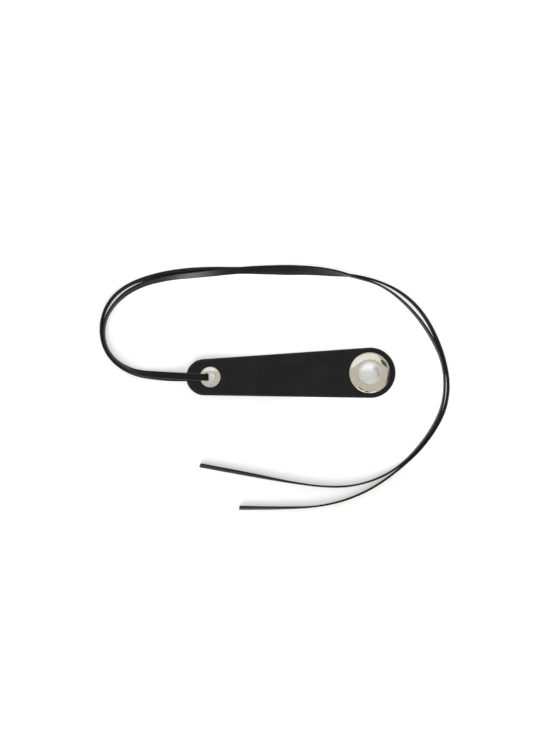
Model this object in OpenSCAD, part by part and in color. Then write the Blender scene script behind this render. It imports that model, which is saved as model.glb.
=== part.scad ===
// Leather wrap tie: a tapered two-layer leather tab with a domed concho screwed through its wide end
// and an eyelet in its narrow end, and one flat leather lace folded double through the eyelet.
// Frame: +X towards the wide end, +Z up, origin under the middle of the tab on the surface it lies on.

/* [Tab] */
// Length of the leather tab over its round ends
tab_length = 153.5; // [146:0.5:160]
// Width of the narrow end
narrow_width = 26.6; // [24:0.1:30]
// Width of the wide end
wide_width = 37; // [35:0.5:42]
// Thickness of the smooth face leather
face_thickness = 1.8; // [1.4:0.1:2.2]
// Thickness of the lining leather
lining_thickness = 1.2; // [0.8:0.1:1.6]
// Height of the tab's underside above the surface
underside_height = 2.4; // [2.3:0.1:3]

/* [Eyelet] */
// Distance from the narrow tip to the eyelet's axis
eyelet_inset = 17.7; // [16:0.1:19]
// Outer diameter of the eyelet's flange
flange_diameter = 15; // [14:0.1:16]
// Diameter of the eyelet's hole
eyelet_hole = 7.4; // [7.4:0.1:7.8]
// Height of the flange above the leather
flange_height = 0.8; // [0.6:0.05:1]
// Wall thickness of the barrel
barrel_wall = 0.4; // [0.3:0.05:0.5]
// Outer diameter of the back washer
back_washer_diameter = 13.8; // [12:0.1:14]

/* [Concho] */
// Distance from the wide end to the concho's axis
concho_inset = 19; // [18:0.1:21]
// Diameter of the pressed rosette
rosette_diameter = 30; // [28:0.5:32]
// Height of the rosette's middle above its rim
rosette_rise = 2.8; // [2:0.1:3.4]
// Sheet thickness of the rosette
rosette_sheet = 0.6; // [0.5:0.05:0.8]
// Diameter of the dome over its rolled foot
dome_diameter = 16.5; // [15:0.5:18]
// Height of the dome over its foot
dome_rise = 2.9; // [2.4:0.1:3.6]
// Sheet thickness of the dome
dome_sheet = 0.5; // [0.4:0.05:0.6]
// Diameter of the stud's post
post_diameter = 5; // [4.6:0.1:5.6]
// Diameter of the back screw's head
screw_head_diameter = 10; // [9:0.5:12]
// Diameter of the back screw's shank
screw_shank_diameter = 3.1; // [2.8:0.1:3.4]

/* [Lace] */
// Width of the flat lace
lace_width = 5.2; // [4.6:0.1:5.2]
// Thickness of the flat lace
lace_thickness = 1.3; // [1:0.1:1.3]

/* [Hidden] */
$fn = 96;

// Tab
narrow_r = narrow_width / 2;
wide_r = wide_width / 2;
narrow_x = narrow_r - tab_length / 2;
wide_x = tab_length / 2 - wide_r;
taper_angle = asin((wide_r - narrow_r) / (wide_x - narrow_x));
lining_top = underside_height + lining_thickness;
leather_top = lining_top + face_thickness;

// Eyelet
eyelet_x = eyelet_inset - tab_length / 2;
eyelet_r = eyelet_hole / 2;
barrel_r = eyelet_r + barrel_wall;
flange_r = flange_diameter / 2;
leather_clearance = 0.05;
washer_sheet = 0.4;
curl_r = 0.5;
curl_top = underside_height - washer_sheet;

// Concho: the turning parts stay a little clear of the leather
concho_x = tab_length / 2 - concho_inset;
turn_gap = 0.03;
head_gap = 0.05;
rosette_r = rosette_diameter / 2;
rosette_rim = leather_top + turn_gap;
seat_z = rosette_rim + rosette_sheet + rosette_rise;
seat_r = dome_diameter / 2 - 0.75;
rosette_curve = 2.4;
rosette_steps = 14;
post_r = post_diameter / 2;
head_top = underside_height - head_gap;
head_r = screw_head_diameter / 2;
shank_r = screw_shank_diameter / 2;
bore_r = shank_r + 0.05;
bore_top = seat_z - 1.2;
shank_top = bore_top - 0.8;
slot_length = 6.4;
slot_width = 1.3;
slot_depth = 0.9;
bead_r = 0.45;
bead_x = dome_diameter / 2 - bead_r;
dome_foot_z = seat_z + bead_r;
dome_foot_r = bead_x - 0.2;
dome_r = (dome_foot_r * dome_foot_r + dome_rise * dome_rise) / (2 * dome_rise);
dome_centre_z = dome_foot_z + dome_rise - dome_r;
base_r = bead_x - bead_r - 0.05;
base_thickness = bead_r - 0.02;

// Lace: a flat strip with eased corners, folded through the eyelet
half_w = lace_width / 2;
half_t = lace_thickness / 2;
ease = 0.25;
lace_section = [[half_w - ease, -half_t], [half_w, ease - half_t], [half_w, half_t - ease],
    [half_w - ease, half_t], [ease - half_w, half_t], [-half_w, half_t - ease],
    [-half_w, ease - half_t], [ease - half_w, -half_t]];
fold_x = eyelet_x - 1.85;
fold_z = (leather_top + underside_height) / 2;
over_flange_z = leather_top + flange_height + 0.25 + half_t;
on_leather_z = leather_top + 0.05 + half_t;

// The strands' routes from the fold to the free ends: x, y, height of the middle, and the roll of
// the strip about its run, which is 0 lying flat and 90 standing on edge.
upper_route = [
    [fold_x, 0, fold_z, 0], [fold_x, 0, leather_top, 0], [fold_x - 0.6, 0, over_flange_z - 0.5, 0],
    [fold_x - 2.1, 0, over_flange_z, 0], [-66, 0, over_flange_z - 0.1, 0], [-70.5, 0.5, on_leather_z, 0],
    [-77, 1, on_leather_z, 0], [-90, 2, 3, 0], [-101, 3, 2.4, 10], [-111.5, 4.6, 3.3, 44],
    [-121, 8.8, 3.3, 66], [-128.5, 14.5, 3.1, 76], [-134.5, 23.5, 2.7, 82], [-136.4, 34.5, 2.7, 80],
    [-134, 45.9, 2.7, 78], [-127, 56, 2.7, 72], [-116.6, 64.6, 2.6, 60], [-101.3, 70.8, 2.5, 54],
    [-84, 74, 2.4, 46], [-63.5, 75.5, 2.9, 36], [-44, 77.1, 3.5, 26], [-23, 78, 3.7, 20],
    [-2, 78.1, 4.4, 26], [17, 77, 7, 48], [34, 74.5, 8.8, 66], [50.3, 69.7, 6.3, 82],
    [66, 64.5, 2.7, 88], [80.8, 54.1, 2.7, 82], [93.4, 40.6, 2.7, 76], [104, 24.3, 2.7, 74],
    [111, 6.9, 2.7, 80], [112.5, -10.5, 2.7, 86], [109.4, -28.1, 2.7, 80], [101.1, -43.8, 2.7, 80],
    [89.6, -58.1, 2.7, 82], [76, -70, 2.7, 90], [59, -78.5, 2.7, 90], [40, -82.7, 2.7, 96],
    [19, -82.1, 2.7, 94], [-4, -78.3, 2.7, 99], [-28.5, -73, 2.7, 112], [-68.6, -64.4, 2.6, 117]];
lower_route = [
    [fold_x, 0, fold_z, 0], [fold_x, 0, 2.5, 0], [fold_x - 0.4, 0, 1.1, 0], [fold_x - 1.7, 0, 0.7, 0],
    [-77, 0, 0.7, 0], [-90, 0.5, 0.7, 0], [-101.5, 2, 1.1, 10], [-111.8, 3.7, 2.2, 44],
    [-121, 7.2, 2.6, 66], [-129.5, 13.5, 2.7, 76], [-135.9, 23, 2.7, 82], [-138.2, 35, 2.7, 82],
    [-136.5, 47, 2.7, 80], [-130.3, 58.7, 2.7, 78], [-118.8, 68.1, 2.7, 76], [-102.3, 74.2, 2.6, 66],
    [-84, 77.4, 2.3, 50], [-64, 78.5, 2, 36], [-44, 78, 1.7, 26], [-23, 77.2, 1.5, 20],
    [-2.5, 76, 1.7, 26], [17, 75, 2.3, 48], [33.8, 73, 2.6, 66], [50.9, 71, 2.7, 82],
    [67, 66.4, 2.7, 88], [83, 57.6, 2.7, 80], [97, 43.4, 2.7, 76], [106.6, 25.8, 2.7, 74],
    [113, 6.9, 2.7, 80], [115.2, -11, 2.7, 82], [111.9, -28.6, 2.7, 80], [102.7, -45.3, 2.7, 80],
    [91.1, -59.2, 2.7, 82], [77, -71.5, 2.7, 90], [60.8, -82.6, 2.7, 90], [41, -91.6, 2.7, 90],
    [17, -96.8, 2.7, 94], [-8, -97.4, 2.7, 106], [-40.7, -96.5, 2.6, 116]];
// Up to this point of a route the strip's run has no direction in plan, and it heads straight off
// the narrow end.
plain_points = 3;

// Direction of the run at a route point
function run_at(p, i) =
    let (d = p[min(i + 1, len(p) - 1)] - p[max(i - 1, 0)])
    d / norm(d);
// Level direction across the run, on the outer side of the loop
function side_at(p, i) =
    i < plain_points ? [0, -1, 0] : let (d = run_at(p, i)) [-d.y, d.x, 0] / norm([d.x, d.y]);
// The eight corners of the strip at a route point
function ring_at(p, i) =
    let (
        at = [p[i].x, p[i].y, p[i].z],
        line = [for (q = p) [q.x, q.y, q.z]],
        side = side_at(line, i),
        up = cross(run_at(line, i), side),
        roll = p[i][3],
        across = cos(roll) * side + sin(roll) * up,
        face = cos(roll) * up - sin(roll) * side
    )
    [for (c = lace_section) at + c.x * across + c.y * face];

module strand(route) {
    corners = len(lace_section);
    rings = len(route);
    points = [for (i = [0 : rings - 1]) each ring_at(route, i)];
    sides = [
        for (i = [0 : rings - 2], j = [0 : corners - 1])
            let (
                a = i * corners + j,
                b = i * corners + (j + 1) % corners
            )
            each [[a, b, b + corners], [a, b + corners, a + corners]]
    ];
    first_end = [for (j = [0 : corners - 1]) corners - 1 - j];
    last_end = [for (j = [0 : corners - 1]) (rings - 1) * corners + j];
    polyhedron(points, concat(sides, [first_end, last_end]));
}

// A tapered plate: two round ends joined by their common tangents
module tab_plate(thickness) {
    narrow_touch = [-sin(taper_angle), cos(taper_angle)] * narrow_r;
    wide_touch = [-sin(taper_angle), cos(taper_angle)] * wide_r;
    translate([narrow_x, 0, 0])
        cylinder(h = thickness, r = narrow_r);
    translate([wide_x, 0, 0])
        cylinder(h = thickness, r = wide_r);
    linear_extrude(thickness)
        polygon([
            [narrow_x + narrow_touch.x, narrow_touch.y],
            [wide_x + wide_touch.x, wide_touch.y],
            [wide_x + wide_touch.x, -wide_touch.y],
            [narrow_x + narrow_touch.x, -narrow_touch.y]
        ]);
}

module leather_layer(bottom, thickness) {
    translate([0, 0, bottom])
        difference() {
            tab_plate(thickness);
            translate([eyelet_x, 0, -1])
                cylinder(h = thickness + 2, r = barrel_r + leather_clearance);
            translate([concho_x, 0, -1])
                cylinder(h = thickness + 2, r = post_r + leather_clearance);
        }
}

module face_leather() {
    color([0.13, 0.13, 0.14])
        leather_layer(lining_top, face_thickness);
}

module lining_leather() {
    color([0.1, 0.1, 0.1])
        leather_layer(underside_height, lining_thickness);
}

// Flange, barrel and rolled lower lip in one turned section
module eyelet() {
    color([0.85, 0.83, 0.78])
        translate([eyelet_x, 0, 0])
            rotate_extrude() {
                translate([0, leather_top])
                    intersection() {
                        union() {
                            translate([eyelet_r + flange_height, 0])
                                circle(flange_height);
                            translate([eyelet_r + flange_height, 0])
                                square([flange_r - eyelet_r - 2 * flange_height, flange_height]);
                            translate([flange_r - flange_height, 0])
                                circle(flange_height);
                        }
                        square([flange_r, flange_height]);
                    }
                translate([eyelet_r, curl_top - curl_r / 2])
                    square([barrel_wall, leather_top - curl_top + curl_r / 2]);
                intersection() {
                    translate([barrel_r + 0.4, curl_top])
                        circle(curl_r);
                    translate([0, curl_top - curl_r])
                        square([flange_r, curl_r]);
                }
            }
}

module eyelet_washer() {
    color([0.8, 0.78, 0.74])
        translate([eyelet_x, 0, curl_top])
            difference() {
                cylinder(h = washer_sheet, r = back_washer_diameter / 2);
                translate([0, 0, -1])
                    cylinder(h = washer_sheet + 2, r = barrel_r + leather_clearance);
            }
}

// Height of the rosette's upper side over its rim, level under the dome and steeper towards the rim
function rosette_height(r) =
    rosette_rise * (1 - pow(max(0, r - seat_r) / (rosette_r - seat_r), rosette_curve));

module rosette() {
    curve = [
        for (i = [0 : rosette_steps])
            let (r = seat_r + (rosette_r - seat_r) * i / rosette_steps)
            [r, rosette_height(r)]
    ];
    hole_r = post_r + leather_clearance;
    top = concat([[hole_r, rosette_rise]], curve);
    upper = [for (p = top) [p.x, p.y + rosette_sheet]];
    lower = [for (i = [len(top) - 1 : -1 : 0]) top[i]];
    color([0.83, 0.8, 0.74])
        translate([concho_x, 0, rosette_rim])
            rotate_extrude()
                polygon(concat(upper, lower));
}

// Hollow dome with a rolled foot, closed over the stud's base
module dome_cap() {
    color([0.9, 0.9, 0.88])
        translate([concho_x, 0, 0])
            rotate_extrude() {
                intersection() {
                    difference() {
                        translate([0, dome_centre_z])
                            circle(dome_r);
                        translate([0, dome_centre_z])
                            circle(dome_r - dome_sheet);
                    }
                    translate([0, dome_foot_z])
                        square([dome_diameter, dome_rise + 1]);
                }
                translate([bead_x, seat_z + bead_r])
                    circle(bead_r);
            }
}

// Base disc under the dome and a bored post through the rosette and both leathers
module stud() {
    color([0.8, 0.68, 0.4])
        translate([concho_x, 0, 0])
            difference() {
                union() {
                    translate([0, 0, seat_z])
                        cylinder(h = base_thickness, r = base_r);
                    translate([0, 0, head_top])
                        cylinder(h = seat_z - head_top, r = post_r);
                }
                translate([0, 0, head_top - 1])
                    cylinder(h = bore_top - head_top + 1, r = bore_r);
            }
}

module back_screw() {
    color([0.78, 0.77, 0.74])
        translate([concho_x, 0, 0])
            difference() {
                union() {
                    cylinder(h = head_top, r = head_r);
                    cylinder(h = shank_top, r = shank_r);
                }
                translate([0, 0, -1])
                    linear_extrude(slot_depth + 1)
                        square([slot_length, slot_width], center = true);
            }
}

module lace_upper_strand() {
    color([0.12, 0.12, 0.12])
        strand(upper_route);
}

module lace_lower_strand() {
    color([0.16, 0.16, 0.16])
        strand(lower_route);
}

face_leather();
lining_leather();
eyelet();
eyelet_washer();
rosette();
dome_cap();
stud();
back_screw();
lace_upper_strand();
lace_lower_strand();
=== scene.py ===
import math

import bmesh
import bpy
import numpy as np
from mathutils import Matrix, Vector


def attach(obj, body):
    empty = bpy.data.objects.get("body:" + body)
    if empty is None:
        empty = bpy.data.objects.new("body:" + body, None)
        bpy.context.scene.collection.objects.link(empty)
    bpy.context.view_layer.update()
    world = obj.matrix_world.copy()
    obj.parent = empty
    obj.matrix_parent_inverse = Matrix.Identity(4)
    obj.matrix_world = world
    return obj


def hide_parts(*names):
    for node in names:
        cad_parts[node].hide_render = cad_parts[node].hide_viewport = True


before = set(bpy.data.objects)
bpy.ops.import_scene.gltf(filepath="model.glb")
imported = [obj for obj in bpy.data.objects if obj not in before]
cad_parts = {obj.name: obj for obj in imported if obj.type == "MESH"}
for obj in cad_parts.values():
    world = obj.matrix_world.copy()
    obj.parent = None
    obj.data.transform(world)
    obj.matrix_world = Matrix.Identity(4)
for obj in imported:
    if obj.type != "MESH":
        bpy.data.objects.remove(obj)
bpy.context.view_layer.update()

MM = 0.001

# ---------------------------------------------------------------- sizes, as in part.scad
TAB_LENGTH = 153.5
NARROW_R = 13.3
WIDE_R = 18.5
UNDERSIDE = 2.4
LINING_TOP = 3.6
LEATHER_TOP = 5.4
CLEARANCE = 0.05
NARROW_X = NARROW_R - TAB_LENGTH / 2
WIDE_X = TAB_LENGTH / 2 - WIDE_R
TAPER = math.asin((WIDE_R - NARROW_R) / (WIDE_X - NARROW_X))

EYELET_X = 17.7 - TAB_LENGTH / 2
EYELET_R = 3.7
BARREL_R = 4.1
FLANGE_R = 7.5
FLANGE_HEIGHT = 0.8
WASHER_R = 6.9
WASHER_BOTTOM = 2.0

CONCHO_X = TAB_LENGTH / 2 - 19.0
ROSETTE_R = 15.0
ROSETTE_RIM = 5.43
ROSETTE_RISE = 2.8
ROSETTE_SHEET = 0.6
SEAT_R = 7.5
SEAT_Z = ROSETTE_RIM + ROSETTE_SHEET + ROSETTE_RISE
POST_R = 2.5
BEAD_R = 0.45
BEAD_X = 7.8
DOME_RISE = 2.9
DOME_SHEET = 0.5
HEAD_R = 5.0
HEAD_TOP = 2.35
SHANK_R = 1.55
SHANK_TOP = 6.83
SLOT = (6.4, 1.3, 0.9)

LACE_WIDTH = 5.2
LACE_THICKNESS = 1.3
FOLD_X = EYELET_X - 1.85
FOLD_Z = 3.9
OVER_FLANGE = 7.1
ON_LEATHER = 6.1

# Routes of the two strands from the fold in the eyelet to the free ends: x, y, height of the
# strip's middle, and its roll about its run in degrees, 0 lying flat and 90 on edge.
UPPER_ROUTE = [
    (FOLD_X, 0, FOLD_Z, 0), (FOLD_X, 0, LEATHER_TOP, 0), (FOLD_X - 0.6, 0, OVER_FLANGE - 0.5, 0),
    (FOLD_X - 2.1, 0, OVER_FLANGE, 0), (-66, 0, OVER_FLANGE - 0.1, 0), (-70.5, 0.5, ON_LEATHER, 0),
    (-77, 1, ON_LEATHER, 0), (-90, 2, 3, 0), (-101, 3, 2.4, 10), (-111.5, 4.6, 3.3, 44),
    (-121, 8.8, 3.3, 66), (-128.5, 14.5, 3.1, 76), (-134.5, 23.5, 2.7, 82), (-136.4, 34.5, 2.7, 80),
    (-134, 45.9, 2.7, 78), (-127, 56, 2.7, 72), (-116.6, 64.6, 2.6, 60), (-101.3, 70.8, 2.5, 54),
    (-84, 74, 2.4, 46), (-63.5, 75.5, 2.9, 36), (-44, 77.1, 3.5, 26), (-23, 78, 3.7, 20),
    (-2, 78.1, 4.4, 26), (17, 77, 7, 48), (34, 74.5, 8.8, 66), (50.3, 69.7, 6.3, 82),
    (66, 64.5, 2.7, 88), (80.8, 54.1, 2.7, 82), (93.4, 40.6, 2.7, 76), (104, 24.3, 2.7, 74),
    (111, 6.9, 2.7, 80), (112.5, -10.5, 2.7, 86), (109.4, -28.1, 2.7, 80), (101.1, -43.8, 2.7, 80),
    (89.6, -58.1, 2.7, 82), (76, -70, 2.7, 90), (59, -78.5, 2.7, 90), (40, -82.7, 2.7, 96),
    (19, -82.1, 2.7, 94), (-4, -78.3, 2.7, 99), (-28.5, -73, 2.7, 112), (-68.6, -64.4, 2.6, 117)]
LOWER_ROUTE = [
    (FOLD_X, 0, FOLD_Z, 0), (FOLD_X, 0, 2.5, 0), (FOLD_X - 0.4, 0, 1.1, 0), (FOLD_X - 1.7, 0, 0.7, 0),
    (-77, 0, 0.7, 0), (-90, 0.5, 0.7, 0), (-101.5, 2, 1.1, 10), (-111.8, 3.7, 2.2, 44),
    (-121, 7.2, 2.6, 66), (-129.5, 13.5, 2.7, 76), (-135.9, 23, 2.7, 82), (-138.2, 35, 2.7, 82),
    (-136.5, 47, 2.7, 80), (-130.3, 58.7, 2.7, 78), (-118.8, 68.1, 2.7, 76), (-102.3, 74.2, 2.6, 66),
    (-84, 77.4, 2.3, 50), (-64, 78.5, 2, 36), (-44, 78, 1.7, 26), (-23, 77.2, 1.5, 20),
    (-2.5, 76, 1.7, 26), (17, 75, 2.3, 48), (33.8, 73, 2.6, 66), (50.9, 71, 2.7, 82),
    (67, 66.4, 2.7, 88), (83, 57.6, 2.7, 80), (97, 43.4, 2.7, 76), (106.6, 25.8, 2.7, 74),
    (113, 6.9, 2.7, 80), (115.2, -11, 2.7, 82), (111.9, -28.6, 2.7, 80), (102.7, -45.3, 2.7, 80),
    (91.1, -59.2, 2.7, 82), (77, -71.5, 2.7, 90), (60.8, -82.6, 2.7, 90), (41, -91.6, 2.7, 90),
    (17, -96.8, 2.7, 94), (-8, -97.4, 2.7, 106), (-40.7, -96.5, 2.6, 116)]


# ---------------------------------------------------------------- camera, straight above
CAMERA_HEIGHT = 1.5
VIEW_CENTRE = (-0.0079, 0.0016)
VIEW_TALL = 0.5483
CAMERA_TURN = math.radians(-1.53)

camera_data = bpy.data.cameras.new("camera")
camera_data.sensor_width = 36.0
camera_data.lens = camera_data.sensor_width * CAMERA_HEIGHT / VIEW_TALL
camera_data.clip_end = 50.0
camera = bpy.data.objects.new("camera", camera_data)
camera.location = (VIEW_CENTRE[0], VIEW_CENTRE[1], CAMERA_HEIGHT)
camera.rotation_euler = (0.0, 0.0, CAMERA_TURN)
bpy.context.scene.collection.objects.link(camera)
bpy.context.scene.camera = camera


# ---------------------------------------------------------------- mesh helpers
def make_piece(name, points, faces, materials, smooth=True, values=None):
    """A mesh object from points in millimetres. values are named numbers, one for each point."""
    mesh = bpy.data.meshes.new(name)
    mesh.from_pydata((np.asarray(points, float) * MM).tolist(), [], faces)
    mesh.validate()
    for key, numbers in (values or {}).items():
        attribute = mesh.attributes.new(key, "FLOAT", "POINT")
        attribute.data.foreach_set("value", np.asarray(numbers, np.float32))
    for material in materials:
        mesh.materials.append(material)
    mesh.polygons.foreach_set("use_smooth", [smooth] * len(mesh.polygons))
    mesh.update()
    piece = bpy.data.objects.new(name, mesh)
    bpy.context.scene.collection.objects.link(piece)
    return piece


def apply_modifiers(piece):
    """The piece's mesh as its modifiers leave it, in place of the modifiers."""
    graph = bpy.context.evaluated_depsgraph_get()
    mesh = bpy.data.meshes.new_from_object(piece.evaluated_get(graph))
    piece.modifiers.clear()
    old = piece.data
    piece.data = mesh
    bpy.data.meshes.remove(old)
    return piece


def cut(piece, cutter):
    """Cuts the cutter's shape out of the piece and removes the cutter."""
    bpy.context.view_layer.update()
    modifier = piece.modifiers.new("cut", "BOOLEAN")
    modifier.operation = "DIFFERENCE"
    modifier.solver = "EXACT"
    modifier.object = cutter
    apply_modifiers(piece)
    bpy.data.objects.remove(cutter)
    return piece


def stand_for(piece, node, body):
    """The piece takes the CAD node's place, on its body."""
    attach(piece, body)
    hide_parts(node)


def arc(centre, radius, start, end, steps):
    """Points (r, z) on an arc, angles in degrees."""
    angles = np.radians(np.linspace(start, end, steps))
    return [(centre[0] + radius * math.cos(a), centre[1] + radius * math.sin(a)) for a in angles]


def lathe(name, outline, centre_x, material, segments=160, sharp_angle=40.0):
    """A turned piece from a closed outline of (r, z) round a vertical axis. A point with r 0 is a pole."""
    points, rows = [], []
    for r, z in outline:
        if r < 1e-6:
            rows.append([len(points)] * segments)
            points.append((centre_x, 0.0, z))
            continue
        rows.append(list(range(len(points), len(points) + segments)))
        for k in range(segments):
            a = 2 * math.pi * k / segments
            points.append((centre_x + r * math.cos(a), r * math.sin(a), z))
    faces = []
    for i, row in enumerate(rows):
        following = rows[(i + 1) % len(rows)]
        if len(set(row)) == 1 and len(set(following)) == 1:
            continue
        for k in range(segments):
            m = (k + 1) % segments
            corners = [row[k], row[m], following[m], following[k]]
            faces.append([c for j, c in enumerate(corners) if c not in corners[:j]])
    piece = make_piece(name, points, faces, [material])
    outward(piece)
    piece.data.set_sharp_from_angle(angle=math.radians(sharp_angle))
    return piece


def outward(piece):
    """Turns all the faces of a closed mesh outwards."""
    mesh = bmesh.new()
    mesh.from_mesh(piece.data)
    bmesh.ops.recalc_face_normals(mesh, faces=mesh.faces)
    if mesh.calc_volume(signed=True) < 0:
        bmesh.ops.reverse_faces(mesh, faces=mesh.faces)
    mesh.to_mesh(piece.data)
    mesh.free()


# ---------------------------------------------------------------- materials
def node_material(name):
    """A new material with its node tree and its shader."""
    material = bpy.data.materials.new(name)
    material.use_nodes = True
    tree = material.node_tree
    return material, tree, tree.nodes["Principled BSDF"]


def add(tree, kind, inputs=None, **settings):
    """A node with its settings and its inputs, where an input is a number or another node's output."""
    node = tree.nodes.new(kind)
    for key, value in settings.items():
        setattr(node, key, value)
    for key, value in (inputs or {}).items():
        if isinstance(value, bpy.types.NodeSocket):
            tree.links.new(value, node.inputs[key])
        else:
            node.inputs[key].default_value = value
    return node


def ramp(tree, value, low, high, to_low=0.0, to_high=1.0):
    """A number's range low..high as to_low..to_high, eased at both ends."""
    inputs = {"Value": value, "From Min": low, "From Max": high, "To Min": to_low, "To Max": to_high}
    return add(tree, "ShaderNodeMapRange", inputs, interpolation_type="SMOOTHSTEP").outputs["Result"]


def combine(tree, operation, a, b):
    """The sum, product or other result of two numbers."""
    return add(tree, "ShaderNodeMath", {0: a, 1: b}, operation=operation).outputs[0]


def multiply_add(tree, a, b, c):
    """a times b, plus c."""
    return add(tree, "ShaderNodeMath", {0: a, 1: b, 2: c}, operation="MULTIPLY_ADD").outputs[0]


def vector_math(tree, operation, a, b=None):
    """A node that works on one or two vectors."""
    return add(tree, "ShaderNodeVectorMath", {0: a} if b is None else {0: a, 1: b}, operation=operation)


def mix_colours(tree, factor, a, b):
    """Colour a where factor is 0 and colour b where it is 1."""
    node = tree.nodes.new("ShaderNodeMix")
    node.data_type = "RGBA"
    for key, value in ((0, factor), (6, a), (7, b)):
        if isinstance(value, bpy.types.NodeSocket):
            tree.links.new(value, node.inputs[key])
        else:
            node.inputs[key].default_value = value if key == 0 else (*value, 1.0)
    return node.outputs[2]


def noise(tree, vector, size_mm, detail=2.0, roughness=0.5):
    """Noise between 0 and 1 whose features are about size_mm across."""
    node = add(tree, "ShaderNodeTexNoise", {"Vector": vector, "Scale": 1.0 / (size_mm * MM),
                                            "Detail": detail, "Roughness": roughness})
    return node.outputs["Fac"]


def grain_height(tree, vector, cell_mm):
    """Height of leather grain: small pebbles with creases between them, over softer folds."""
    warp = add(tree, "ShaderNodeTexNoise", {"Vector": vector, "Scale": 0.35 / (cell_mm * MM), "Detail": 2.0})
    shift = vector_math(tree, "SUBTRACT", warp.outputs["Color"], (0.5, 0.5, 0.5))
    scaled = add(tree, "ShaderNodeVectorMath", {0: shift.outputs[0], "Scale": 1.2 * cell_mm * MM},
                 operation="SCALE")
    moved = vector_math(tree, "ADD", vector, scaled.outputs[0])
    cells = add(tree, "ShaderNodeTexVoronoi", {"Vector": moved.outputs[0], "Scale": 1.0 / (cell_mm * MM)},
                feature="DISTANCE_TO_EDGE")
    pebbles = ramp(tree, cells.outputs["Distance"], 0.0, 0.22)
    pores = ramp(tree, noise(tree, vector, cell_mm * 0.45, 3.0), 0.3, 0.7)
    folds = noise(tree, vector, cell_mm * 9, 3.0)
    total = multiply_add(tree, pebbles, 0.65, multiply_add(tree, pores, 0.35, 0.5))
    return multiply_add(tree, folds, 1.1, total)


def bump(tree, height, distance_mm, normal=None):
    """The surface's direction once it is raised by height, a number from 0 to 1, times distance_mm."""
    inputs = {"Height": height, "Distance": distance_mm * MM, "Strength": 1.0}
    if normal is not None:
        inputs["Normal"] = normal
    return add(tree, "ShaderNodeBump", inputs).outputs["Normal"]


def object_vector(tree):
    """The place on the object, in metres."""
    return tree.nodes.new("ShaderNodeTexCoord").outputs["Object"]


def attribute(tree, name):
    """The number that the mesh keeps under this name."""
    return add(tree, "ShaderNodeAttribute", attribute_name=name, attribute_type="GEOMETRY").outputs["Fac"]


def tab_leather(name, grain_colour, worn_colour, roughness, cell_mm, bump_mm, specular):
    """Smooth finished leather with grain, and painted edges marked by the attribute paint."""
    material, tree, shader = node_material(name)
    vector = object_vector(tree)
    paint = attribute(tree, "paint")
    height = grain_height(tree, vector, cell_mm)
    blotch = ramp(tree, noise(tree, vector, 14.0, 4.0, 0.6), 0.35, 0.7)
    tone = mix_colours(tree, blotch, grain_colour, worn_colour)
    paint_tone = mix_colours(tree, noise(tree, vector, 1.6, 3.0),
                             (0.0045, 0.0045, 0.005), (0.011, 0.011, 0.012))
    colour = mix_colours(tree, paint, tone, paint_tone)
    tree.links.new(colour, shader.inputs["Base Color"])
    rough = ramp(tree, noise(tree, vector, 2.4, 4.0, 0.6), 0.25, 0.75, roughness - 0.06, roughness + 0.07)
    tree.links.new(multiply_add(tree, paint, -0.08, rough), shader.inputs["Roughness"])
    shader.inputs["Specular IOR Level"].default_value = specular
    on_grain = combine(tree, "SUBTRACT", 1.0, combine(tree, "MULTIPLY", paint, 0.85))
    grained = bump(tree, combine(tree, "MULTIPLY", height, on_grain), bump_mm)
    strokes = combine(tree, "MULTIPLY", noise(tree, vector, 0.7, 4.0), paint)
    tree.links.new(bump(tree, strokes, 0.05, grained), shader.inputs["Normal"])
    return material


def lace_leather(name):
    """Lace leather. Its attributes: grain and edge are 1 on the smooth side and on the cut edges, along
    and across are the place on the strip in metres, and one more attribute holds the strength of a painted
    highlight on its smooth side."""
    material, tree, shader = node_material(name)
    vector = object_vector(tree)
    grain = attribute(tree, "grain")
    edge = attribute(tree, "edge")
    along = attribute(tree, "along")
    across = attribute(tree, "across")
    strip = add(tree, "ShaderNodeCombineXYZ", {"X": along, "Y": across}).outputs[0]
    stretched = vector_math(tree, "MULTIPLY", strip, (0.3, 1.0, 1.0)).outputs[0]
    fibres = noise(tree, stretched, 0.55, 5.0, 0.65)
    mottle = ramp(tree, noise(tree, vector, 3.4, 5.0, 0.62), 0.36, 0.66)
    smooth_tone = mix_colours(tree, mottle, (0.0025, 0.0025, 0.0027), (0.0055, 0.0055, 0.0058))
    broken = ramp(tree, fibres, 0.2, 0.7, 0.45, 1.0)
    # Painted highlight: light grey on the smooth side, broken up by the fibres, where a lamp's sheen would
    # show
    highlighted = combine(tree, "MULTIPLY", attribute(tree, "painted_highlight"), broken)
    smooth_tone = mix_colours(tree, highlighted, smooth_tone, (0.2, 0.2, 0.2))
    flesh_tone = mix_colours(tree, combine(tree, "MULTIPLY", mottle, fibres), (0.007, 0.007, 0.007),
                             (0.026, 0.0255, 0.025))
    # By the eyelet the smooth side is darker, and the cut edges are lighter: a painted highlight standing in
    # for the light that catches the strap's lower edge there
    free = ramp(tree, along, 0.03, 0.065)
    smooth_tone = mix_colours(tree, free, (0.0018, 0.0018, 0.002), smooth_tone)
    sides = mix_colours(tree, grain, flesh_tone, smooth_tone)
    cut_tone = mix_colours(tree, fibres, (0.0035, 0.0035, 0.0035), (0.012, 0.0115, 0.011))
    cut_tone = mix_colours(tree, free, (0.08, 0.078, 0.076), cut_tone)
    tree.links.new(mix_colours(tree, edge, sides, cut_tone), shader.inputs["Base Color"])
    rough = multiply_add(tree, mottle, 0.09, ramp(tree, grain, 0.0, 1.0, 0.62, 0.36))
    tree.links.new(multiply_add(tree, edge, 0.2, rough), shader.inputs["Roughness"])
    shader.inputs["Specular IOR Level"].default_value = 0.2
    pebbled = combine(tree, "MULTIPLY", grain_height(tree, vector, 0.5), grain)
    napped = combine(tree, "MULTIPLY", fibres, combine(tree, "SUBTRACT", 1.0, grain))
    tree.links.new(bump(tree, napped, 0.16, bump(tree, pebbled, 0.05)), shader.inputs["Normal"])
    return material


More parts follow.
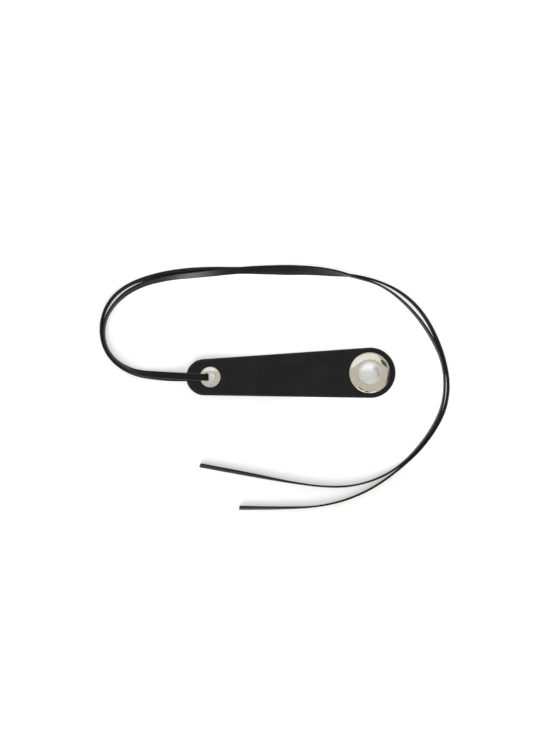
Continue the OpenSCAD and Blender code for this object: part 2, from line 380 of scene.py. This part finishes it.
def plated_metal(name, colour, shade, roughness, centre_x, ring_bump_mm, ring_size_mm=0.35, uneven=0.4):
    """Plated metal, with fine rings from turning or spinning round the axis at centre_x. Its colour
    varies softly from colour to shade, and its roughness by the share uneven either way."""
    material, tree, shader = node_material(name)
    vector = object_vector(tree)
    offset = vector_math(tree, "SUBTRACT", vector, (centre_x * MM, 0.0, 0.0))
    flat = vector_math(tree, "MULTIPLY", offset.outputs[0], (1.0, 1.0, 0.0))
    radius = vector_math(tree, "LENGTH", flat.outputs[0]).outputs["Value"]
    rings_at = add(tree, "ShaderNodeCombineXYZ", {"X": radius}).outputs[0]
    rings = noise(tree, rings_at, ring_size_mm, 4.0, 0.6)
    cloud = ramp(tree, noise(tree, vector, 5.0, 4.0, 0.6), 0.35, 0.7)
    tree.links.new(mix_colours(tree, cloud, colour, shade), shader.inputs["Base Color"])
    shader.inputs["Metallic"].default_value = 1.0
    smear = ramp(tree, noise(tree, vector, 1.8, 5.0, 0.65), 0.3, 0.75,
                 roughness * (1 - uneven), roughness * (1 + uneven))
    tree.links.new(smear, shader.inputs["Roughness"])
    ringed = bump(tree, rings, ring_bump_mm)
    tree.links.new(bump(tree, noise(tree, vector, 1.1, 2.0), 0.0009, ringed), shader.inputs["Normal"])
    return material


face_material = tab_leather("face_leather_black", (0.003, 0.003, 0.0033), (0.005, 0.005, 0.0054),
                            roughness=0.42, cell_mm=0.55, bump_mm=0.05, specular=0.2)
lining_material = tab_leather("lining_leather_black", (0.008, 0.0075, 0.007), (0.02, 0.018, 0.016),
                              roughness=0.68, cell_mm=0.8, bump_mm=0.07, specular=0.3)
lace_material = lace_leather("lace_leather_black")
eyelet_material = plated_metal("eyelet_nickel_plate", (0.77, 0.72, 0.62), (0.69, 0.64, 0.54), 0.15,
                               EYELET_X, 0.004)
washer_material = plated_metal("washer_nickel_plate", (0.66, 0.64, 0.6), (0.58, 0.55, 0.5), 0.26,
                               EYELET_X, 0.006)
rosette_material = plated_metal("rosette_nickel_plate", (0.75, 0.7, 0.58), (0.7, 0.64, 0.52), 0.11,
                                CONCHO_X, 0.0016, ring_size_mm=0.5)
dome_material = plated_metal("dome_satin_nickel", (0.92, 0.92, 0.89), (0.88, 0.88, 0.84), 0.38,
                             CONCHO_X, 0.0006, ring_size_mm=0.8, uneven=0.12)
stud_material = plated_metal("stud_turned_brass", (0.72, 0.56, 0.32), (0.62, 0.46, 0.25), 0.3,
                             CONCHO_X, 0.012)
screw_material = plated_metal("screw_nickel_plate", (0.62, 0.6, 0.56), (0.52, 0.5, 0.46), 0.24,
                              CONCHO_X, 0.012, ring_size_mm=0.25)


# ---------------------------------------------------------------- lace
def through(knots, values, at, held):
    """A smooth curve through values at the knots. The columns in held never pass the values beside them."""
    gaps = np.diff(knots)
    slopes = np.diff(values, axis=0) / gaps[:, None]
    tangents = np.empty_like(values)
    tangents[0], tangents[-1] = slopes[0], slopes[-1]
    before, after = gaps[:-1, None], gaps[1:, None]
    tangents[1:-1] = (slopes[:-1] * after + slopes[1:] * before) / (before + after)
    for column in held:
        left, right = slopes[:-1, column], slopes[1:, column]
        limit = 3 * np.minimum(abs(left), abs(right))
        inner = np.clip(tangents[1:-1, column], -limit, limit)
        tangents[1:-1, column] = np.where(left * right <= 0, 0.0, inner)
    i = np.clip(np.searchsorted(knots, at, side="right") - 1, 0, len(knots) - 2)
    gap = gaps[i][:, None]
    t = (at - knots[i])[:, None] / gap
    return ((2 * t**3 - 3 * t**2 + 1) * values[i] + (t**3 - 2 * t**2 + t) * gap * tangents[i]
            + (3 * t**2 - 2 * t**3) * values[i + 1] + (t**3 - t**2) * gap * tangents[i + 1])


def distances(points):
    """Distance along a line of points, from its first point."""
    steps = np.linalg.norm(np.diff(points[:, :3], axis=0), axis=1)
    return np.concatenate([[0.0], np.cumsum(steps)])


BLUR = 7.0  # how wide the easing of a route's corners is
BLUR_FROM, BLUR_FULL = 22.0, 62.0  # and between which distances along the route it comes in


def blurred(line, at):
    """The line averaged over some millimetres either way, and less near the eyelet and the free end."""
    result = line.copy()
    for i, s in enumerate(at):
        sigma = BLUR * min(1.0, max(0.0, (s - BLUR_FROM) / (BLUR_FULL - BLUR_FROM)))
        reach = min(3 * sigma, s, at[-1] - s)
        if reach < 1.0:
            continue
        near = abs(at - s) <= reach
        weight = np.exp(-0.5 * ((at[near] - s) / sigma) ** 2)
        result[i] = (line[near] * weight[:, None]).sum(0) / weight.sum()
    return result


def smooth_route(route, step=0.8):
    """Evenly spaced x, y, z and roll along a route, with its small corners eased out past the eyelet."""
    knots_at = np.asarray(route, float)
    knots = distances(knots_at)
    fine = np.arange(0.0, knots[-1], 0.5)
    line = through(knots, knots_at, fine, held=(2, 3))
    once = blurred(line, fine)
    eased = 2 * once - blurred(once, fine)
    run = distances(eased)
    even = np.linspace(0.0, run[-1], int(run[-1] / step) + 1)
    return np.stack([np.interp(even, run, eased[:, c]) for c in range(4)], axis=1), even


def strip_section():
    """Points (x, y, edge) round a flat strip: rounded on its smooth side, +y, and crisper below."""
    half_w, half_t = LACE_WIDTH / 2, LACE_THICKNESS / 2
    top_r, low_r = 0.38, 0.16

    def corner(side, radius, angle, soft_edge):
        x, y = radius * math.cos(math.radians(angle)), radius * math.sin(math.radians(angle))
        middle = half_t - radius if angle > 0 else radius - half_t
        return (side * (half_w - radius + x), middle + y, 1.0 if -50 < angle < 50 else soft_edge)

    section = [(x, half_t, 0.0) for x in np.linspace(-(half_w - top_r), half_w - top_r, 9)]
    section += [corner(1, top_r, angle, 0.4) for angle in (65, 40, 15)]
    section += [(half_w, -0.1, 1.0)]
    section += [corner(1, low_r, angle, 0.5) for angle in (-20, -65)]
    section += [(x, -half_t, 0.0) for x in np.linspace(half_w - low_r, -(half_w - low_r), 9)]
    section += [corner(-1, low_r, angle, 0.5) for angle in (-65, -20)]
    section += [(-half_w, -0.1, 1.0)]
    section += [corner(-1, top_r, angle, 0.4) for angle in (15, 40, 65)]
    return np.array(section)


def wander(s, size, seed):
    """Small smooth random movement along s, about -1..1, whose waves are at most size long."""
    source = np.random.default_rng(seed)
    total = np.zeros_like(s)
    for octave in range(3):
        wave = size / 2**octave
        total += np.sin(2 * math.pi * s / wave + source.uniform(0, 2 * math.pi)) * 0.6**octave
    return total / 1.96


def lace_strand(name, route, grain_side, slant, seed, painted_highlights=()):
    """One strand of the lace, with its middle line and its length in metres. grain_side is 1 where its
    smooth side is its upper face, or else -1, and slant is how far its end is cut askew. The last argument
    lists (distance along the strand, half its length, strength) of the stretches with a painted highlight."""
    line, run = smooth_route(route)
    at = line[:, :3]
    roll = np.radians(line[:, 3])
    heading = np.gradient(at, axis=0)
    heading /= np.linalg.norm(heading, axis=1)[:, None]
    level = np.stack([-heading[:, 1], heading[:, 0], np.zeros(len(run))], axis=1)
    level /= np.maximum(np.linalg.norm(level, axis=1), 1e-9)[:, None]
    # In the bore the strip stands upright, so its width is across the tab there
    plain = np.clip((run - 10.0) / 14.0, 0.0, 1.0)[:, None]
    level = level * plain + np.array([0.0, -1.0, 0.0]) * (1 - plain)
    level /= np.linalg.norm(level, axis=1)[:, None]
    up = np.cross(heading, level)
    up /= np.linalg.norm(up, axis=1)[:, None]
    across = np.cos(roll)[:, None] * level + np.sin(roll)[:, None] * up
    face = np.cos(roll)[:, None] * up - np.sin(roll)[:, None] * level
    section = strip_section()
    free = np.clip((run - 25.0) / 30.0, 0.0, 1.0)
    width = 1 + 0.012 * wander(run, 46.0, seed) * free
    sway = 0.05 * wander(run, 21.0, seed + 1) * free
    thick = 1 + 0.03 * wander(run, 17.0, seed + 2) * free
    end_shear = slant * np.clip((run - run[-1] + 3.0) / 3.0, 0.0, 1.0)
    # Strength of the painted highlight along the strand
    highlight_strength = sum((strength * np.exp(-((run - middle) / half) ** 2) for middle, half, strength in painted_highlights),
               np.zeros(len(run)))
    points = []
    values = {"grain": [], "edge": [], "along": [], "across": [], "painted_highlight": []}

    def put(spot, *numbers):
        points.append(spot)
        for key, number in zip(values, numbers):
            values[key].append(number)

    for i in range(len(run)):
        for x, y, is_edge in section:
            x_at = x * width[i] + sway[i]
            y_at = y * thick[i] * grain_side
            spot = at[i] + across[i] * x_at + face[i] * y_at + heading[i] * end_shear[i] * x_at
            spot[2] = max(spot[2], 0.02)
            cross_at = (x + (y * 0.7 if is_edge > 0.9 else 0.0)) * MM
            put(spot, 1.0 if y > 0.3 else 0.0, is_edge, run[i] * MM, cross_at, highlight_strength[i])
    corners = len(section)
    rings = len(run)
    faces = []
    for i in range(rings - 1):
        for j in range(corners):
            k = (j + 1) % corners
            faces.append((i * corners + j, i * corners + k, (i + 1) * corners + k, (i + 1) * corners + j))
    # The end at the fold is closed flat, and the free end bulges a little
    for first, bulge in ((0, 0.0), ((rings - 1) * corners, 0.12)):
        ring = range(first, first + corners)
        middle = np.mean([points[k] for k in ring], axis=0)
        push = heading[-1] * bulge
        inner = len(points)
        for k in ring:
            put(middle + (points[k] - middle) * (0.93 if first else 0.999) + push,
                0.0, 1.0, values["along"][k], values["across"][k], 0.0)
        put(middle + push, 0.0, 1.0, values["along"][first] + 0.4 * MM, 0.0, 0.0)
        centre = len(points) - 1
        for j in range(corners):
            k = (j + 1) % corners
            faces.append((first + j, first + k, inner + k, inner + j))
            faces.append((inner + j, inner + k, centre))
    piece = make_piece(name, points, faces, [lace_material], values=values)
    outward(piece)
    piece.data.set_sharp_from_angle(angle=math.radians(50))
    return piece, at * MM, run[-1] * MM


# The upper strand has a painted highlight on its smooth side, about 181 mm along it
upper = lace_strand("lace_upper", UPPER_ROUTE, grain_side=1.0, slant=-0.15, seed=11,
                    painted_highlights=[(181.0, 14.0, 0.55)])
lower = lace_strand("lace_lower", LOWER_ROUTE, grain_side=-1.0, slant=-0.08, seed=23)
for (strand, path, length), node in ((upper, "lace_upper_strand"), (lower, "lace_lower_strand")):
    stand_for(strand, node, "lace")


# ---------------------------------------------------------------- tab
def tab_outline():
    """Points on the tab's outline in order, each with its outward direction and its distance from
    the spine."""
    points, normals, radii = [], [], []

    def put(centre_x, radius, angle):
        n = (math.cos(angle), math.sin(angle))
        points.append((centre_x + radius * n[0], radius * n[1]))
        normals.append(n)
        radii.append(radius)

    side = math.pi / 2 + TAPER
    for a in np.linspace(-side, side, 84, endpoint=False):
        put(WIDE_X, WIDE_R, a)
    for t in np.linspace(0.0, 1.0, 110, endpoint=False):
        put(WIDE_X + (NARROW_X - WIDE_X) * t, WIDE_R + (NARROW_R - WIDE_R) * t, side)
    for a in np.linspace(side, 2 * math.pi - side, 60, endpoint=False):
        put(NARROW_X, NARROW_R, a)
    for t in np.linspace(0.0, 1.0, 110, endpoint=False):
        put(NARROW_X + (WIDE_X - NARROW_X) * t, NARROW_R + (WIDE_R - NARROW_R) * t, -side)
    return np.array(points), np.array(normals), np.array(radii)


def inset_of(x, y):
    """Distance inside the tab's outline, in millimetres."""
    t = np.clip((x - NARROW_X + abs(y) * math.tan(TAPER)) / (WIDE_X - NARROW_X), 0.0, 1.0)
    return NARROW_R + (WIDE_R - NARROW_R) * t - np.hypot(x - NARROW_X - t * (WIDE_X - NARROW_X), y)


def leather_plate(name, edge_profile, top_z, bottom_z, inner_top, inner_bottom, material, paint_reach,
                  swell):
    """A leather layer of the tab. edge_profile lists (inset, z) from the top surface round to the
    bottom one, inner_top and inner_bottom are how many rings fill each surface up to the spine,
    paint_reach is how far in the edge's paint goes, and swell is how uneven the top surface is."""
    outline, normals, radii = tab_outline()
    count = len(outline)
    rows = []

    def ring(inset, z):
        plan = outline - normals * inset[:, None]
        rows.append(np.column_stack([plan, np.full(count, z)]))

    first = np.full(count, edge_profile[0][0])
    for u in np.linspace(1.0, 0.0, inner_top, endpoint=False):
        ring(first + (radii - first) * u, top_z)
    for inset, z in edge_profile:
        ring(np.full(count, inset), z)
    last = np.full(count, edge_profile[-1][0])
    for u in np.linspace(0.0, 1.0, inner_bottom + 1)[1:]:
        ring(last + (radii - last) * u, bottom_z)
    points = np.concatenate(rows)
    faces = []
    for i in range(len(rows) - 1):
        for j in range(count):
            k = (j + 1) % count
            faces.append((i * count + j, i * count + k, (i + 1) * count + k, (i + 1) * count + j))
    piece = make_piece(name, points, faces, [material])
    close_spine(piece)
    outward(piece)
    for centre_x, radius in ((EYELET_X, BARREL_R + CLEARANCE), (CONCHO_X, POST_R + CLEARANCE)):
        rod = [(0.0, 0.0), (radius, 0.0), (radius, 12.0), (0.0, 12.0)]
        cut(piece, lathe("cutter", rod, centre_x, material, 96))
    mesh = piece.data
    co = np.empty(len(mesh.vertices) * 3)
    mesh.vertices.foreach_get("co", co)
    co = co.reshape(-1, 3) / MM
    inset = inset_of(co[:, 0], co[:, 1])
    paint = np.clip((paint_reach + 0.35 - inset) / 0.5, 0.0, 1.0)
    mesh.attributes.new("paint", "FLOAT", "POINT").data.foreach_set("value", paint.astype(np.float32))
    top = co[:, 2] > top_z - 0.05
    clear = np.minimum(np.hypot(co[:, 0] - EYELET_X, co[:, 1]) - FLANGE_R,
                       np.hypot(co[:, 0] - CONCHO_X, co[:, 1]) - ROSETTE_R)
    lift = swell * np.clip((clear - 0.3) / 3.0, 0.0, 1.0) * np.clip((inset - 2.0) / 3.0, 0.0, 1.0)
    wave = (wander(co[:, 0] + 0.4 * co[:, 1], 61.0, 5) * 0.5
            + wander(co[:, 1] - 0.2 * co[:, 0], 23.0, 6) * 0.5)
    co[:, 2] += np.where(top, lift * (wave - 1.0) * 0.5, 0.0)
    mesh.vertices.foreach_set("co", (co * MM).ravel())
    mesh.polygons.foreach_set("use_smooth", [True] * len(mesh.polygons))
    mesh.set_sharp_from_angle(angle=math.radians(45))
    mesh.update()
    return piece


def close_spine(piece):
    """Joins the two sides of each surface along the spine and at the round ends' centres."""
    mesh = bmesh.new()
    mesh.from_mesh(piece.data)
    bmesh.ops.remove_doubles(mesh, verts=mesh.verts, dist=0.004 * MM)
    loose = [e for e in mesh.edges if not e.link_faces]
    bmesh.ops.delete(mesh, geom=loose, context="EDGES")
    mesh.to_mesh(piece.data)
    mesh.free()


def face_edge():
    """From the crease inside the edge, over the beveled and rounded shoulder, down the painted side."""
    top = LEATHER_TOP
    profile = [(3.2, top), (2.35, top - 0.01), (2.1, top - 0.07), (1.85, top - 0.16), (1.6, top - 0.07),
               (1.35, top - 0.04), (1.1, top - 0.07)]
    profile += [(0.85 - 0.85 * math.sin(math.radians(a)), top - 0.95 + 0.85 * math.cos(math.radians(a)))
                for a in (8, 22, 38, 54, 70, 84)]
    profile += [(0.0, top - 1.15), (0.02, LINING_TOP + 0.25), (0.06, LINING_TOP + 0.08), (0.16, LINING_TOP)]
    return profile


def lining_edge():
    """Down the lining's side and round its lower edge."""
    low = UNDERSIDE
    profile = [(0.2, LINING_TOP), (0.08, LINING_TOP - 0.06), (0.02, LINING_TOP - 0.2)]
    profile += [(0.5 - 0.5 * math.cos(math.radians(a)), low + 0.5 - 0.5 * math.sin(math.radians(a)))
                for a in (5, 25, 45, 65, 85)]
    profile += [(0.9, low), (1.8, low)]
    return profile


face_piece = leather_plate("tab_face_leather", face_edge(), LEATHER_TOP, LINING_TOP, 10, 6, face_material,
                           paint_reach=1.2, swell=0.05)
stand_for(face_piece, "face_leather", "tab")
lining_piece = leather_plate("tab_lining_leather", lining_edge(), LINING_TOP, UNDERSIDE, 6, 10,
                             lining_material, paint_reach=0.6, swell=0.0)
stand_for(lining_piece, "lining_leather", "tab")


# ---------------------------------------------------------------- eyelet and its washer
def eyelet_outline():
    """The bore, the domed flange, the barrel and its rolled lower lip."""
    top = LEATHER_TOP + FLANGE_HEIGHT
    outline = [(EYELET_R, 2.3), (EYELET_R, top - 0.75)]
    outline += [(EYELET_R + 0.62 - 0.62 * math.cos(a), top - 0.6 + 0.6 * math.sin(a))
                for a in np.radians(np.linspace(12, 84, 9))]
    for t in np.linspace(0.0, 1.0, 14):
        outline.append((4.5 + 2.55 * t, top - 0.02 - 0.5 * t - 0.12 * t**2))
    outline += [(FLANGE_R - 0.3 + 0.3 * math.sin(a), LEATHER_TOP + 0.02 + 0.16 * math.cos(a))
                for a in np.radians(np.linspace(30, 90, 6))]
    outline += [(FLANGE_R - 0.05, LEATHER_TOP), (BARREL_R, LEATHER_TOP), (BARREL_R, WASHER_BOTTOM),
                (4.98, WASHER_BOTTOM)]
    for a in np.linspace(-8, -172, 16):
        x, y = math.cos(math.radians(a)), math.sin(math.radians(a))
        outline.append((4.35 + 0.65 * x, WASHER_BOTTOM + 0.5 * y))
    return outline


eyelet = lathe("eyelet_turned", eyelet_outline(), EYELET_X, eyelet_material, 176, 50)
washer = lathe("eyelet_back_washer", [
    (BARREL_R + CLEARANCE, WASHER_BOTTOM + 0.03), (BARREL_R + 0.1, WASHER_BOTTOM),
    (WASHER_R - 0.2, WASHER_BOTTOM), (WASHER_R - 0.07, WASHER_BOTTOM + 0.04),
    (WASHER_R, WASHER_BOTTOM + 0.15), (WASHER_R, WASHER_BOTTOM + 0.3),
    (WASHER_R - 0.08, UNDERSIDE), (BARREL_R + CLEARANCE, UNDERSIDE)], EYELET_X, washer_material, 160, 50)
for piece, node in ((eyelet, "eyelet"), (washer, "eyelet_washer")):
    stand_for(piece, node, "tab")


# ---------------------------------------------------------------- concho
def rosette_height(r):
    """How far the rosette's sheet stands above its rim at radius r: flat in its middle, steep outside."""
    return ROSETTE_RISE * (1 - (max(0.0, r - SEAT_R) / (ROSETTE_R - SEAT_R)) ** 2.4)


def rosette_outline():
    """The pressed sheet from its hole, over its top, round its rim and back below."""
    edge_r = ROSETTE_R - ROSETTE_SHEET / 2
    radii = np.concatenate([[POST_R + CLEARANCE, 5.0], np.linspace(SEAT_R - 0.4, edge_r, 48)])
    top = [(r, ROSETTE_RIM + ROSETTE_SHEET + rosette_height(r)) for r in radii]
    low = [(r, ROSETTE_RIM + rosette_height(r)) for r in radii]
    tip_z = (top[-1][1] + low[-1][1]) / 2
    rim_r = ROSETTE_SHEET / 2
    rim = [(edge_r + rim_r * math.cos(a), tip_z + rim_r * math.sin(a) - 0.12 * math.cos(a))
           for a in np.radians(np.linspace(60, -60, 9))]
    return top + rim + low[::-1]


def dome_outline():
    """The cap's outside, its rolled foot and its inside."""
    foot_r = BEAD_X - 0.2
    dome_r = (foot_r**2 + DOME_RISE**2) / (2 * DOME_RISE)
    foot_z = SEAT_Z + BEAD_R
    centre_z = foot_z + DOME_RISE - dome_r
    reach = math.asin(foot_r / dome_r)
    outer = [(dome_r * math.sin(a), centre_z + dome_r * math.cos(a))
             for a in np.linspace(0, reach - 0.012, 44)]
    bead = arc((BEAD_X, SEAT_Z + BEAD_R), BEAD_R, 104, -196, 26)
    inner_r = dome_r - DOME_SHEET
    inner_reach = math.acos((foot_z - centre_z) / inner_r)
    inner = [(inner_r * math.sin(a), centre_z + inner_r * math.cos(a))
             for a in np.linspace(inner_reach, 0, 20)]
    return outer + bead + inner


def screw_outline():
    """The flat head with its eased edges, and the shank."""
    return [(0.0, 0.0), (HEAD_R - 0.45, 0.0), (HEAD_R - 0.15, 0.06), (HEAD_R, 0.28), (HEAD_R, HEAD_TOP - 0.3),
            (HEAD_R - 0.12, HEAD_TOP - 0.08), (HEAD_R - 0.3, HEAD_TOP), (SHANK_R, HEAD_TOP),
            (SHANK_R, SHANK_TOP - 0.25), (SHANK_R - 0.25, SHANK_TOP), (0.0, SHANK_TOP)]


rosette = lathe("rosette_pressed", rosette_outline(), CONCHO_X, rosette_material, 224, 50)
dome = lathe("dome_cap_pressed", dome_outline(), CONCHO_X, dome_material, 224, 50)
screw = lathe("back_screw_turned", screw_outline(), CONCHO_X, screw_material, 128, 35)
slot_x, slot_y, slot_z = (s / 2 for s in SLOT)
slot_box = make_piece("slot_cutter", [
    (CONCHO_X + x * slot_x, y * slot_y, z) for z in (-1.0, SLOT[2]) for y in (-1, 1) for x in (-1, 1)],
    [(0, 2, 3, 1), (4, 5, 7, 6), (0, 1, 5, 4), (2, 6, 7, 3), (0, 4, 6, 2), (1, 3, 7, 5)], [screw_material],
    smooth=False)
cut(screw, slot_box)
screw.data.set_sharp_from_angle(angle=math.radians(35))
for piece, node, slot in ((rosette, "rosette", "concho_nickel"), (dome, "dome_cap", "dome_nickel"),
                          (screw, "back_screw", "screw_nickel")):
    stand_for(piece, node, "concho")
# The stud keeps its CAD shape: it is hidden under the dome and inside the leathers and the screw
stud_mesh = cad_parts["stud"].data
stud_mesh.materials.clear()
stud_mesh.materials.append(stud_material)


# ---------------------------------------------------------------- floor, light and what the metal reflects
def stage_card(name, corners, colour, strength):
    """A flat glowing card that only lights the object and shows in its reflections."""
    mesh = bpy.data.meshes.new(name)
    mesh.from_pydata(corners, [], [tuple(range(len(corners)))])
    material = bpy.data.materials.new(name)
    material.use_nodes = True
    tree = material.node_tree
    tree.nodes.clear()
    glow = add(tree, "ShaderNodeEmission", {"Color": (*colour, 1.0), "Strength": strength})
    out = tree.nodes.new("ShaderNodeOutputMaterial")
    tree.links.new(glow.outputs[0], out.inputs["Surface"])
    mesh.materials.append(material)
    card = bpy.data.objects.new(name, mesh)
    card.visible_camera = False
    bpy.context.scene.collection.objects.link(card)


FLOOR_HALF = 12.0
FLOOR_GLOW = (0.33, 0.64)  # its weakest and strongest glow
GLOW_HEADING = (0.55, 0.83, 0.0)  # the side on which it is strongest
GLOW_FADE = (0.35, 0.9)  # and the distance, in metres, over which that fades away
floor_mesh = bpy.data.meshes.new("floor")
floor_mesh.from_pydata([(x * FLOOR_HALF, y * FLOOR_HALF, 0) for x, y in ((-1, -1), (1, -1), (1, 1), (-1, 1))],
                       [], [(0, 1, 2, 3)])
floor_material, floor_tree, floor_shader = node_material("floor_white")
floor_shader.inputs["Base Color"].default_value = (0.44, 0.44, 0.44, 1.0)
floor_shader.inputs["Roughness"].default_value = 0.9
floor_shader.inputs["Specular IOR Level"].default_value = 0.1
# The floor glows as painted light: a little everywhere, and more beyond the tab's far edge, where the glow
# washes out the object's shadows
floor_place = object_vector(floor_tree)
glow_side = vector_math(floor_tree, "DOT_PRODUCT", floor_place, GLOW_HEADING).outputs["Value"]
glow_distance = vector_math(floor_tree, "LENGTH", floor_place).outputs["Value"]
strong_glow = combine(floor_tree, "MULTIPLY", ramp(floor_tree, glow_side, -0.03, 0.01),
                      ramp(floor_tree, glow_distance, *GLOW_FADE, 1.0, 0.0))
floor_glow = ramp(floor_tree, strong_glow, 0.0, 1.0, *FLOOR_GLOW)
floor_tree.links.new(floor_glow, floor_shader.inputs["Emission Strength"])
floor_shader.inputs["Emission Color"].default_value = (1.0, 0.99, 0.98, 1.0)
floor_mesh.materials.append(floor_material)
floor = bpy.data.objects.new("floor", floor_mesh)
bpy.context.scene.collection.objects.link(floor)

world = bpy.data.worlds.new("world")
bpy.context.scene.world = world
world.use_nodes = True
sky = world.node_tree
background = sky.nodes["Background"]
DIM_BEARING = math.radians(-12)  # the sky is dim low down on this side
dim_side = (math.cos(DIM_BEARING), math.sin(DIM_BEARING), 0.0)
sky_heading = sky.nodes.new("ShaderNodeTexCoord").outputs["Generated"]
toward = vector_math(sky, "DOT_PRODUCT", sky_heading, dim_side).outputs["Value"]
sky_tone = mix_colours(sky, ramp(sky, toward, 0.84, 0.98), (0.67, 0.67, 0.66), (0.03, 0.03, 0.032))
sky.links.new(sky_tone, background.inputs["Color"])


def card_points(reach, corners):
    """Points at reach metres from the concho, from (bearing, angle from straight up) in degrees."""
    points = []
    for bearing, tilt in corners:
        b, t = math.radians(bearing), math.radians(tilt)
        points.append((CONCHO_X * MM + reach * math.sin(t) * math.cos(b), reach * math.sin(t) * math.sin(b),
                       0.01 + reach * math.cos(t)))
    return points


# The bright panel beyond the top of the view, whose near edge arches over the concho. Its corners
# are in multiples of its height, from straight above the concho.
PANEL_HEIGHT = 1.7
PANEL_SHAPE = [(0.63, 0.43), (0.3, 0.385), (0.0, 0.37), (-0.4, 0.375), (-1.2, 0.48), (-3.0, 0.85),
               (-3.0, 3.2), (1.6, 3.2), (0.95, 1.0)]
stage_card("bright_panel", [(CONCHO_X * MM + x * PANEL_HEIGHT, y * PANEL_HEIGHT, PANEL_HEIGHT)
                            for x, y in PANEL_SHAPE], (0.93, 0.94, 1.0), 1.16)

# What stands round the table and shows small in the rosette: name, distance, corners, colour, strength
REFLECTED = [
    ("green_screen", 2.4, [(12, 70), (20, 54), (25, 45), (36, 38), (46, 50), (44, 66), (28, 74)],
     (0.55, 1.0, 0.72), 0.13),
    ("dark_stand_1", 2.4, [(-128, 61), (-111, 63), (-110, 71), (-128, 70)], (1, 1, 1), 0.01),
    ("dark_stand_2", 2.4, [(-105, 66), (-91, 70), (-90, 78), (-103, 75)], (1, 1, 1), 0.01),
    ("pink_card", 2.6, [(-130, 72), (-104, 76), (-70, 75), (-70, 82), (-100, 83), (-130, 80)],
     (1.0, 0.84, 0.8), 1.4)]
for card_name, reach, corners, colour, strength in REFLECTED:
    stage_card(card_name, card_points(reach, corners), colour, strength)


def soft_light(name, place, size, watts):
    """A round lamp aimed at the object that lights it without showing in its reflections."""
    data = bpy.data.lights.new(name, "AREA")
    data.shape = "DISK"
    data.size = size
    data.energy = watts
    lamp = bpy.data.objects.new(name, data)
    lamp.location = place
    lamp.rotation_euler = (-Vector(place)).to_track_quat("-Z", "Y").to_euler()
    lamp.visible_glossy = False
    bpy.context.scene.collection.objects.link(lamp)


soft_light("key", (-1.0, -1.8, 1.6), 1.5, 42.0)
soft_light("fill", (-0.5, -0.6, 2.4), 3.0, 53.0)

bpy.context.scene.view_settings.view_transform = "Standard"
